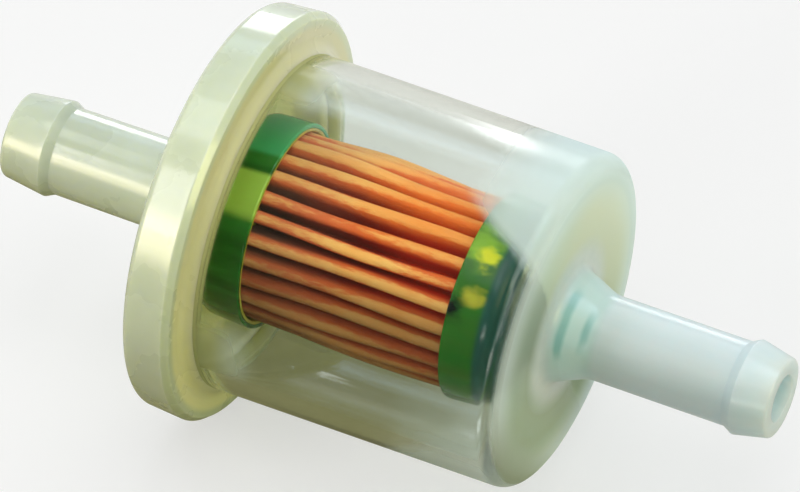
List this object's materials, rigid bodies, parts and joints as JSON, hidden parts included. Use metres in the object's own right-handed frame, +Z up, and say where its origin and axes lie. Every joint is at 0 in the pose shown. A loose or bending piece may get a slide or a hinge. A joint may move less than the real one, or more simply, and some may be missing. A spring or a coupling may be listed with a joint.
{
  "type": "in-line fuel filter",
  "caption": "Sealed in-line fuel filter for a small engine: milky flanged inlet cap, clear bowl, a hose barb at each end and a pleated paper cartridge with green end cups inside.",
  "frame": {"origin": "centre of the overall box, on the flow axis, half way between the tips of the two hose barbs", "axes": "+X along the flow axis from the milky inlet cap to the clear bowl's outlet barb, +Z up, +Y completes the right-handed frame"},
  "size_m": [0.0684, 0.035, 0.035],
  "materials": {
    "milky_plastic": "satin",
    "clear_plastic": "gloss",
    "filter_paper": "matte",
    "green_plastic": "gloss",
    "amber_adhesive": "gloss"
  },
  "bodies": {
    "root": {"inlet_cap": "milky_plastic", "bowl": "clear_plastic", "pleated_paper": "filter_paper", "inlet_end_cup": "green_plastic", "outlet_end_cup": "green_plastic", "inlet_adhesive": "amber_adhesive", "outlet_adhesive": "amber_adhesive", "seam_bead": "amber_adhesive"}
  },
  "joints": []
}
